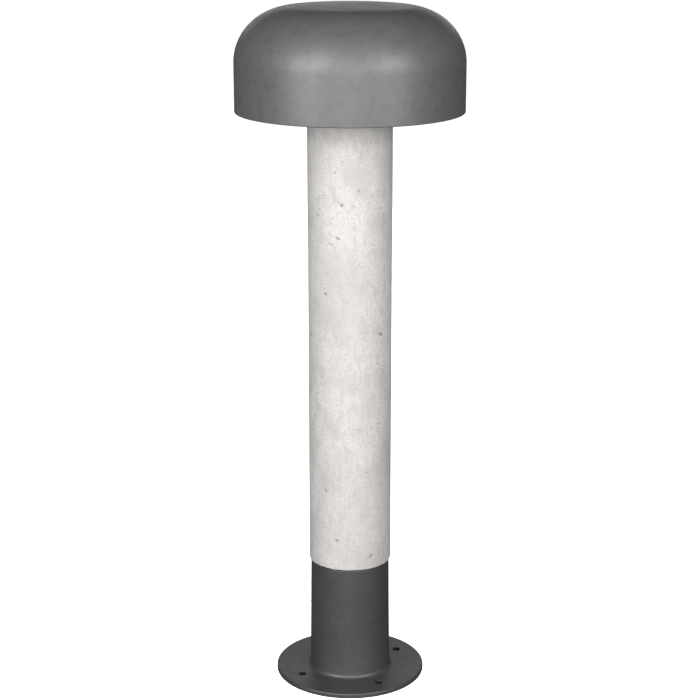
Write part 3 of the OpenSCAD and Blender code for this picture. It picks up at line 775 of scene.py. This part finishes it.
def make_pillars():
    """Turned spacers: a tapped end for the thumbscrew below, a threaded stud into the shade above."""
    low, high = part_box("shade_pillars")
    shoulder = high.z - 8 * MM
    foot = ((2.55, 15.5), (2.55, 0.5), (3.05, 0), (4.6, 0), (5, 0.4), (5, 3), (4.6, 3.3), (4.6, 4.7), (5, 5))
    outline = [(r * MM, low.z + z * MM) for r, z in foot]
    outline += [(5 * MM, shoulder - 0.5 * MM), (4.5 * MM, shoulder)]
    outline += wall(2.5 * MM, shoulder, high.z - 0.5 * MM, 0.1 * MM)
    outline += [(2.1 * MM, high.z), (0, high.z), (0, low.z + 16.5 * MM)]
    turned("shade_pillars", outline, 48, "head", thread(2.5 * MM, 0.3 * MM, M5_PITCH), PILLAR_SPOTS)


def make_thumbscrew(number, centre):
    """Knurled head with a coin slot, a plain neck and a rolled thread."""
    node = f"thumbscrew_{number}"
    low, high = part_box(node)
    top = low.z + 8 * MM
    head, shank = 8 * MM, 2.45 * MM

    def knurl(angle, r, z):
        rim = np.clip((r - 7.2 * MM) / (0.8 * MM), 0, 1)
        below, above = (top - 1.6 * MM - z) / (0.5 * MM), (z - low.z - 0.4 * MM) / (0.5 * MM)
        flute = (0.5 + 0.5 * np.cos(24 * angle)) ** 1.5
        return rolled(angle, r, z) - 0.75 * MM * rim * np.clip(below, 0, 1) * np.clip(above, 0, 1) * flute

    rolled = thread(shank, 0.3 * MM, M5_PITCH)
    outline = [(0, low.z), (7.2 * MM, low.z), (7.7 * MM, low.z + 0.2 * MM)]
    outline += wall(head, low.z + 0.6 * MM, top - 0.6 * MM, 0.4 * MM)
    outline += [(7.7 * MM, top - 0.2 * MM), (7.2 * MM, top), (shank + 0.4 * MM, top)]
    outline += wall(shank, top + 0.1 * MM, high.z - 0.6 * MM, 0.1 * MM)
    outline += [(shank - 0.5 * MM, high.z), (0, high.z)]
    piece = solid(node, lathe(outline, 144, centre, knurl))
    x, y = centre
    slot = block((x - 9 * MM, y - 0.6 * MM, low.z - MM), (x + 9 * MM, y + 0.6 * MM, low.z + 1.5 * MM))
    combine(piece, "DIFFERENCE", [slot])
    place(piece, node, body=node)


# ---- lamp and its holder ----

def make_lamp():
    """LED lamp: rolled screw cap, fluted collar and opal bulb."""
    low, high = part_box("lamp_bulb")
    radius, ball_z = high.x, high.z - high.x
    neck_r = radius - 3 * MM
    meet = 15
    meet_r = radius * math.cos(math.radians(meet))
    meet_z = ball_z - radius * math.sin(math.radians(meet))
    neck = [(neck_r + (meet_r - neck_r) * math.sin(t * math.pi / 2), low.z + (meet_z - low.z) * t)
            for t in np.linspace(0, 1, 8)]
    outer = neck[:-1] + arc((0, ball_z), radius, radius, -meet, 90, 56)
    thick = 1.2 * MM
    scale = (radius - thick) / radius
    inner = [(max(0.0, r - thick), z) if z < ball_z else (r * scale, ball_z + (z - ball_z) * scale)
             for r, z in outer]
    outer[-1], inner[-1] = (0, high.z), (0, high.z - thick)
    turned("lamp_bulb", outer + inner[::-1], 144, "lamp")

    low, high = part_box("lamp_collar")
    cap_r, collar_r = 13.2 * MM, high.x
    tall = high.z - low.z
    side = [(cap_r + (collar_r - cap_r) * math.sin(t * math.pi / 2), low.z + tall * t)
            for t in np.linspace(0, 1, 40)]
    side[-1:] = arc((collar_r - 0.5 * MM, high.z - 0.5 * MM), 0.5 * MM, 0.5 * MM, 0, 90, 4)

    def flutes(angle, r, z):
        t = np.clip((z - low.z) / tall, 0, 1)
        deep = 0.55 * MM * np.clip((t - 0.12) / 0.1, 0, 1) * np.clip((0.86 - t) / 0.08, 0, 1)
        outside = r > cap_r + (collar_r - cap_r) * np.sin(t * np.pi / 2) - 0.2 * MM
        return r - deep * outside * (0.5 + 0.5 * np.cos(30 * angle)) ** 2

    hollow = [(max(0.0, r - 2 * MM), z) for r, z in reversed(side) if z > low.z + 2 * MM]
    outline = [(0, low.z)] + side + hollow + [(0, low.z + 2 * MM)]
    turned("lamp_collar", outline, 240, "lamp", reshape=flutes)

    low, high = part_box("lamp_cap")
    crest = 13.15 * MM
    roll = wall(crest, low.z + 1.6 * MM, high.z - 3.2 * MM, 0.3 * MM)
    tip = rounded((11.6 * MM, low.z, 0.8 * MM), (12 * MM, low.z + 1.5 * MM), (0, low.z))[:-2]
    outline = [(0, low.z)] + tip
    outline += roll + rounded((12.4 * MM, high.z - 2.4 * MM, 0.4 * MM), (high.x, high.z - 2 * MM, 0.4 * MM),
                              (high.x, high.z, 0.3 * MM), (11 * MM, high.z))
    outline += [(11 * MM, low.z + MM), (0, low.z + MM)]
    turned("lamp_cap", outline, 144, "lamp", thread(crest, 1.0 * MM, CAP_PITCH))


def make_holder():
    """Porcelain lamp holder with its screw shell, hung in a bent strap."""
    low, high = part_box("holder_body")
    radius = high.x
    mouth = 14.5 * MM
    shell_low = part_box("holder_shell")[0].z
    contact_low = shell_low - 2 * MM
    groove = [(radius, z) for z in (high.z - 9 * MM, high.z - 6 * MM)]
    outline = [(5.05 * MM, low.z)] + rounded((12 * MM, low.z, 0.5 * MM), (radius, low.z, 2.2 * MM), groove[0],
                                             count=7)[:-1]
    outline += rounded(groove[0], (radius - 0.9 * MM, groove[0][1] + 0.9 * MM, 0.8 * MM),
                       (radius - 0.9 * MM, groove[1][1] - 0.9 * MM, 0.8 * MM), groove[1],
                       (radius, high.z, 2.0 * MM), (mouth, high.z, 0.9 * MM), (mouth, shell_low),
                       (4 * MM, shell_low), (4 * MM, contact_low - 6 * MM), (5.05 * MM, contact_low - 6 * MM))
    outline += [(11 * MM, contact_low - 6 * MM), (11 * MM, low.z + 6.5 * MM), (5.05 * MM, low.z + 6.5 * MM)]
    turned("holder_body", outline, 144)

    low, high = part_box("holder_shell")
    crest = high.x
    thin = 0.45 * MM
    rolled = thread(crest, 0.16 * MM, CAP_PITCH)
    outside = wall(crest, low.z, high.z, 0.4 * MM)
    inside = [(crest - thin, z) for r, z in reversed(outside)]
    turned("holder_shell", outside + inside, 120, reshape=rolled)

    low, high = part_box("holder_strap")
    half, foot, thick, leg = 8 * MM, high.x, 2 * MM, 25 * MM
    outer = [(-foot, high.z - thick), (-leg, high.z - thick, 0.4 * MM), (-leg, low.z, 3 * MM),
             (leg, low.z, 3 * MM), (leg, high.z - thick, 0.4 * MM), (foot, high.z - thick)]
    inner = [(foot, high.z), (leg - thick, high.z, 2.2 * MM), (leg - thick, low.z + thick, 1 * MM),
             (thick - leg, low.z + thick, 1 * MM), (thick - leg, high.z, 2.2 * MM), (-foot, high.z)]
    piece = solid("holder_strap", prism(rounded(*outer, *inner), -half, half, "Y"))
    holes = [rod(5.1 * MM, low.z - MM, low.z + 3 * MM)]
    holes += rods(TAP_HOLE, high.z - 3 * MM, high.z + MM, STRAP_SCREW_SPOTS)
    combine(piece, "DIFFERENCE", holes)
    place(piece, "holder_strap", edge=0.25 * MM)
    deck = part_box("lamp_carrier")[1].z
    screws("strap_screws", STRAP_SCREW_SPOTS, deck, 8 * MM, 3.6 * MM, -1)

    low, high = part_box("holder_nipple")
    outside = wall(5 * MM, low.z + 0.4 * MM, high.z - 0.4 * MM, 0.12 * MM)
    outline = [(3.8 * MM, low.z), (4.6 * MM, low.z)] + outside + [(4.6 * MM, high.z), (3.8 * MM, high.z)]
    turned("holder_nipple", outline, 60, reshape=thread(5 * MM, 0.35 * MM, MM))
    nuts("nipple_nut", 14 * MM, 5.05 * MM)


def make_carrier():
    """Cast three-armed plate on top of the post."""
    low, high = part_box("lamp_carrier")
    disc_r, arm, opening = 60 * MM, 9 * MM, 22 * MM
    plate_low = high.z - 4 * MM
    root_turn = math.degrees(math.asin((arm + 4 * MM) / disc_r))
    plan = []
    for side in THREE_SIDES:
        turn = math.radians(side)
        along = Vector((math.cos(turn), math.sin(turn)))
        across = Vector((-along.y, along.x))
        start = disc_r * math.cos(math.radians(root_turn))
        plan += [along * (start + 5 * MM * (1 - math.cos(t))) - across * (arm + 4 * MM * (1 - math.sin(t)))
                 for t in np.radians(np.linspace(0, 90, 6))]
        plan += [along * (PILLAR_RING + arm * math.cos(t)) + across * arm * math.sin(t)
                 for t in np.radians(np.linspace(-90, 90, 20))]
        plan += [along * (start + 5 * MM * (1 - math.cos(t))) + across * (arm + 4 * MM * (1 - math.sin(t)))
                 for t in np.radians(np.linspace(90, 0, 6))]
        gap = np.radians(np.linspace(side + root_turn, side + 120 - root_turn, 24))[1:-1]
        plan += [Vector((disc_r * math.cos(t), disc_r * math.sin(t))) for t in gap]
    piece = solid("lamp_carrier", prism(plan, plate_low, high.z))
    spigot = [(SPIGOT_IN, low.z), (SPIGOT_OUT, low.z)]
    spigot += [(SPIGOT_OUT, plate_low + MM), (SPIGOT_IN, plate_low + MM)]
    combine(piece, "UNION", [lathe(spigot, 120)])
    cuts = [rod(opening, low.z - PAST, high.z + PAST, steps=120)]
    cuts += rods(ROD_HOLE, low.z - PAST, high.z + PAST, ROD_SPOTS)
    cuts += rods(2.75 * MM, low.z - PAST, high.z + PAST, PILLAR_SPOTS)
    for spot, x in zip(STRAP_SCREW_SPOTS, (-30 * MM, 30 * MM)):
        cuts.append(rod(CLEAR_HOLE, plate_low - PAST, high.z + PAST, spot))
        cuts.append(block((x - 5 * MM, -9 * MM, low.z - MM), (x + 5 * MM, 9 * MM, plate_low)))
    for cut in cuts:
        combine(piece, "DIFFERENCE", [cut])
    place(piece, "lamp_carrier", edge=0.45 * MM)
    ring("diffuser_gasket", 48.5 * MM, 0.7 * MM)


# ---- post ----

def blown_pores(radius, low, high):
    """Reshape that sinks small pits into the concrete's face: round, or long and tilted."""
    draw = np.random.default_rng(41)
    pits = []
    for size, count in ((0.9, 150), (1.5, 46), (2.3, 14)):
        turns = draw.uniform(0, 2 * np.pi, count)
        for turn, height in zip(turns, draw.uniform(low + 4 * MM, high - 12 * MM, count)):
            long = size * draw.uniform(0.8, 1.8)
            pits.append((turn, height, long * MM, size * draw.uniform(0.5, 0.8) * MM, draw.uniform(-0.9, 0.9),
                         min(0.9, 0.35 * size) * MM))
    chips = [(turn, draw.uniform(1.2, 3.0) * MM, draw.uniform(0.2, 0.6) * MM)
             for turn in draw.uniform(0, 2 * np.pi, 26)]

    def reshape(angle, r, z):
        sunk = np.zeros(np.broadcast(angle, z).shape)
        for turn, height, long, wide, tilt, deep in pits:
            rows = np.abs(z[:, 0] - height) < 2 * long
            across = (np.mod(angle - turn + np.pi, 2 * np.pi) - np.pi) * radius
            up = z[rows] - height
            u = across * math.cos(tilt) + up * math.sin(tilt)
            v = up * math.cos(tilt) - across * math.sin(tilt)
            inside = np.clip(1 - (u / long) ** 2 - (v / wide) ** 2, 0, 1)
            sunk[rows] = np.maximum(sunk[rows], deep * np.sqrt(inside))
        for turn, wide, deep in chips:
            across = (np.mod(angle - turn + np.pi, 2 * np.pi) - np.pi) * radius
            sunk += deep * np.exp(-(across / wide) ** 2 - ((z - low) / (1.2 * MM)) ** 2)
        waves = 0.05 * MM * (1 - np.cos(3 * angle + 9 * z) * np.cos(23 * z + 2 * angle))
        return np.where(r > radius - 2 * MM, r - sunk - waves, r + 0 * angle)

    return reshape


def mark_hollow_shade(piece, values):
    """Stores how deep in a hollow each point lies, from 0 to 1, for the material, which paints shade into
    these hollows.
    """
    mark = piece.data.attributes.new("hollow", "FLOAT", "POINT")
    mark.data.foreach_set("value", values.astype(np.float32))


def points_of(piece):
    points = np.empty(len(piece.data.vertices) * 3)
    piece.data.vertices.foreach_get("co", points)
    return points.reshape(-1, 3)


def make_post():
    """Hollow concrete post. Its outer face is a fine grid, so that the pits are real hollows."""
    low, high = post_low.z, post_high.z
    radius, bore, edge = post_high.x, 33 * MM, 1.5 * MM
    outline = band(bore, radius, low, high, (0.8 * MM, edge, edge, 0.8 * MM))
    grid = wall(radius, low + edge, high - edge, 1.15 * MM)[1:-1]
    outline = outline[:10] + grid + outline[10:]
    piece = solid("concrete_post", lathe(outline, 264, reshape=blown_pores(radius, low, high)))
    # Points sunk into pores are marked so that the concrete is painted darker in them, as painted shade.
    points = points_of(piece)
    sunk = radius - np.hypot(points[:, 0], points[:, 1]) - 0.12 * MM
    on_face = (sunk < 2 * MM) & (points[:, 2] > low + 2 * edge) & (points[:, 2] < high - 2 * edge)
    mark_hollow_shade(piece, np.clip(sunk / (0.5 * MM), 0, 1) * on_face)
    place(piece, "concrete_post")
    for name in ("lower_post_seal", "upper_post_seal"):
        ring(name, 34 * MM, 0.35 * MM)


def make_rods():
    """Three tie rods, threaded at both ends, with their nuts and washers."""
    low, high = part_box("tie_rods")
    outline = [(0, low.z), (2.5 * MM, low.z)]
    outline += wall(3 * MM, low.z + 0.5 * MM, low.z + 22 * MM, 0.125 * MM)
    outline += [(2.95 * MM, low.z + 22.5 * MM), (2.95 * MM, high.z - 24.5 * MM)]
    outline += wall(3 * MM, high.z - 24 * MM, high.z - 0.5 * MM, 0.125 * MM)
    outline += [(2.5 * MM, high.z), (0, high.z)]
    turned("tie_rods", outline, 40, reshape=thread(3 * MM, 0.32 * MM, MM), centres=ROD_SPOTS)
    for end in ("lower", "upper"):
        nuts(f"{end}_nuts", 10 * MM, 3.05 * MM, ROD_SPOTS)
        low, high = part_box(f"{end}_washers")
        edges = [(high.z - low.z) * 0.25] * 4
        outline = band(3.2 * MM, 6 * MM, low.z, high.z, edges, count=3)
        turned(f"{end}_washers", outline, 72, centres=ROD_SPOTS)


# ---- base ----

ANCHOR_RING = 67 * MM
ANCHOR_TURN = 31
BOSS_SPOTS = around(36.5 * MM, BETWEEN_SIDES)


def make_base():
    """Cast sleeve and flange, with an open recess below, bosses for the plate and a web under the post."""
    top, flange_t, web_z, shelf = 144 * MM, 6 * MM, 136 * MM, 32 * MM
    flange_r = base_high.x
    foot_r, neck_r, bore, recess = 48 * MM, 46.7 * MM, 41.5 * MM, 43 * MM
    taper = (neck_r - foot_r) / (top - flange_t)
    side = [(r + taper * (z - flange_t), z) for r, z in wall(foot_r, 16 * MM, top - 4 * MM, 8 * MM)]
    outline = rounded((recess, 0, 0.8 * MM), (flange_r, 0, 0.8 * MM), (flange_r, flange_t, 1.6 * MM),
                      (foot_r, flange_t, 4.2 * MM), side[0], count=9)[:-1]
    outline += side
    outline += rounded(side[-1], (neck_r, top, 0.9 * MM), (SPIGOT_OUT, top, 0.6 * MM),
                       (SPIGOT_OUT, base_high.z, 0.5 * MM), (SPIGOT_IN, base_high.z, 0.5 * MM),
                       (SPIGOT_IN, top, 0.6 * MM), (0, top))[1:]
    outline += rounded((0, web_z), (bore, web_z, 2 * MM), (bore, shelf, 0.3 * MM), (recess, shelf, 0.3 * MM),
                       (recess, 0.9 * MM))[:-1]
    piece = solid("base_casting", lathe(outline, 256))
    boss_top, tap_top = 52 * MM, 44 * MM
    boss = band(0, 6 * MM, shelf, boss_top, (0, 0, 0.8 * MM, 0))
    for c in BOSS_SPOTS:
        combine(piece, "UNION", [lathe(boss, 48, c)])
    anchors = around(ANCHOR_RING, [ANCHOR_TURN + 90 * i for i in range(4)])
    sunk = 0.5 * MM
    anchor_r = 4.5 * MM
    hole = [(0, -MM), (anchor_r, -MM), (anchor_r, flange_t - sunk), (anchor_r + sunk, flange_t),
            (5.5 * MM, flange_t + MM), (0, flange_t + MM)]
    cuts = [lathe(hole, 64, c) for c in anchors]
    cuts += rods(ROD_HOLE, web_z - MM, base_high.z + MM, ROD_SPOTS)
    cuts += rods(TAP_HOLE, shelf - MM, tap_top, BOSS_SPOTS)
    cuts.append(rod(8 * MM, web_z - MM, top + MM))
    combine(piece, "DIFFERENCE", cuts)
    place(piece, "base_casting")
    # Marks the points inside the anchor holes, where the coat is painted near black as painted shade.
    points = points_of(piece)
    inside = np.zeros(len(points), bool)
    for x, y in anchors:
        inside |= np.hypot(points[:, 0] - x, points[:, 1] - y) < 4.8 * MM
    mark_hollow_shade(piece, inside)


def make_gland():
    """Plate that closes the base, and the cable gland through it."""
    low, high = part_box("gland_plate")
    outline = band(10.1 * MM, high.x, low.z, high.z, (0.3 * MM, 0.4 * MM, 0.4 * MM, 0.3 * MM))
    piece = solid("gland_plate", lathe(outline, 192))
    combine(piece, "DIFFERENCE", rods(CLEAR_HOLE, low.z - PAST, high.z + PAST, BOSS_SPOTS))
    place(piece, "gland_plate")
    plate_z = low.z
    screws("gland_plate_screws", BOSS_SPOTS, plate_z, 14 * MM, 4 * MM, 1)
    ring("gland_plate_seal", 39 * MM, 0.3 * MM)

    low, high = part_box("gland_body")
    corner, face, drop = 24 / math.sqrt(3) * MM, 11.5 * MM, 0.9 * MM
    hex_z = plate_z - 6 * MM
    outline = rounded((7 * MM, low.z, 0.4 * MM), (9.5 * MM, low.z, 0.4 * MM), (9.5 * MM, hex_z))[:-1]
    outline += [(9.5 * MM, hex_z), (face, hex_z)]
    outline += [(face + (corner - face) * t, hex_z + drop * t) for t in np.linspace(0, 1, 6)]
    outline += [(corner, plate_z - 0.2 * MM), (corner - 0.3 * MM, plate_z), (10 * MM, plate_z)]
    threaded = thread(10 * MM, 0.5 * MM, 1.5 * MM)
    outline += wall(10 * MM, plate_z + 0.2 * MM, high.z - 0.8 * MM, 0.15 * MM)
    outline += [(9.3 * MM, high.z), (7 * MM, high.z)]
    six = hex_reshape(24 * MM)
    turned("gland_body", outline, 120, reshape=lambda a, r, z: np.minimum(six(a, r, z), threaded(a, r, z)))

    low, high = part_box("gland_dome_nut")
    hex_z = high.z - 7 * MM
    corner = 22 / math.sqrt(3) * MM
    dome = arc((0, hex_z), 11 * MM, 11 * MM, -40, -4, 14)
    dome = [(r, max(z, low.z)) for r, z in dome]
    outline = [(6.5 * MM, dome[0][1])] + dome
    outline += [(11 * MM + (corner - 11 * MM) * t, hex_z + 0.7 * MM * t) for t in np.linspace(0, 1, 6)]
    outline += [(corner, high.z - 0.6 * MM), (corner - 0.5 * MM, high.z), (9.6 * MM, high.z),
                (9.6 * MM, hex_z - MM), (6.5 * MM, hex_z - MM)]
    turned("gland_dome_nut", outline, 120, reshape=hex_reshape(22 * MM))
    nuts("gland_lock_nut", 26 * MM, 10.05 * MM)
    ring("gland_seal", 5 * MM, 0.5 * MM)


CORE_RADIUS = 1.2 * MM
# The flex, the earth wire and the two cores repeat the CAD part's routes, in millimetres.
FLEX_ROUTE = [(0, 0, 118), (0, 0, 128), (0, 0, 160), (2, 1, 230), (4, 2, 310), (3, -2, 400), (-1, -3, 490),
              (-2, 0, 560), (0, 0, 610), (0, 0, 630), (0, 0, 646), (0, 0, 662)]
EARTH_ROUTE = [(11, -4, 99), (11, -4, 108), (10, 2, 119), (6, 11, 128), (3.2, 15.6, 133.5)]


def core_route(start, pole):
    return [(start, 0, 117.7), (start, -0.5, 114), (pole * 0.75, -3, 108), (pole, -4, 103), (pole, -4, 100)]


def make_wiring():
    cable("flex_cable", 3.4 * MM, FLEX_ROUTE)
    cable("base_cores", CORE_RADIUS, core_route(-1.6, -11), core_route(1.6, 0))
    cable("earth_wire", CORE_RADIUS, EARTH_ROUTE)
    low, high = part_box("grommet")
    lip, hole, bore = high.x, 7.9 * MM, 3.7 * MM
    outline = rounded((bore, low.z, 0.5 * MM), (lip, low.z, 0.8 * MM), (lip, low.z + 2 * MM, 0.8 * MM),
                      (hole, low.z + 2 * MM), (hole, high.z - 2 * MM), (lip, high.z - 2 * MM, 0.8 * MM),
                      (lip, high.z, 0.8 * MM), (bore, high.z, 0.5 * MM))
    turned("grommet", outline, 96)


# ---- CAD nodes that stay as they are ----

def dress_rest():
    """Looks and small round edges for the CAD nodes that no piece stands for."""
    for name, node in NODES.items():
        if node.hide_render:
            continue
        node.data.materials.clear()
        node.data.materials.append(LOOKS[SLOTS[name]])
        weld = node.modifiers.new("weld", "WELD")
        weld.merge_threshold = 0.002 * MM
        soften(node, 0.15 * MM)


make_camera()
make_lights()
make_floor()
make_shade()
make_diffuser()
make_reflector()
make_pillars()
for number, centre in enumerate(PILLAR_SPOTS, 1):
    make_thumbscrew(number, centre)
make_lamp()
make_holder()
make_carrier()
make_post()
make_rods()
make_base()
make_gland()
make_wiring()
dress_rest()
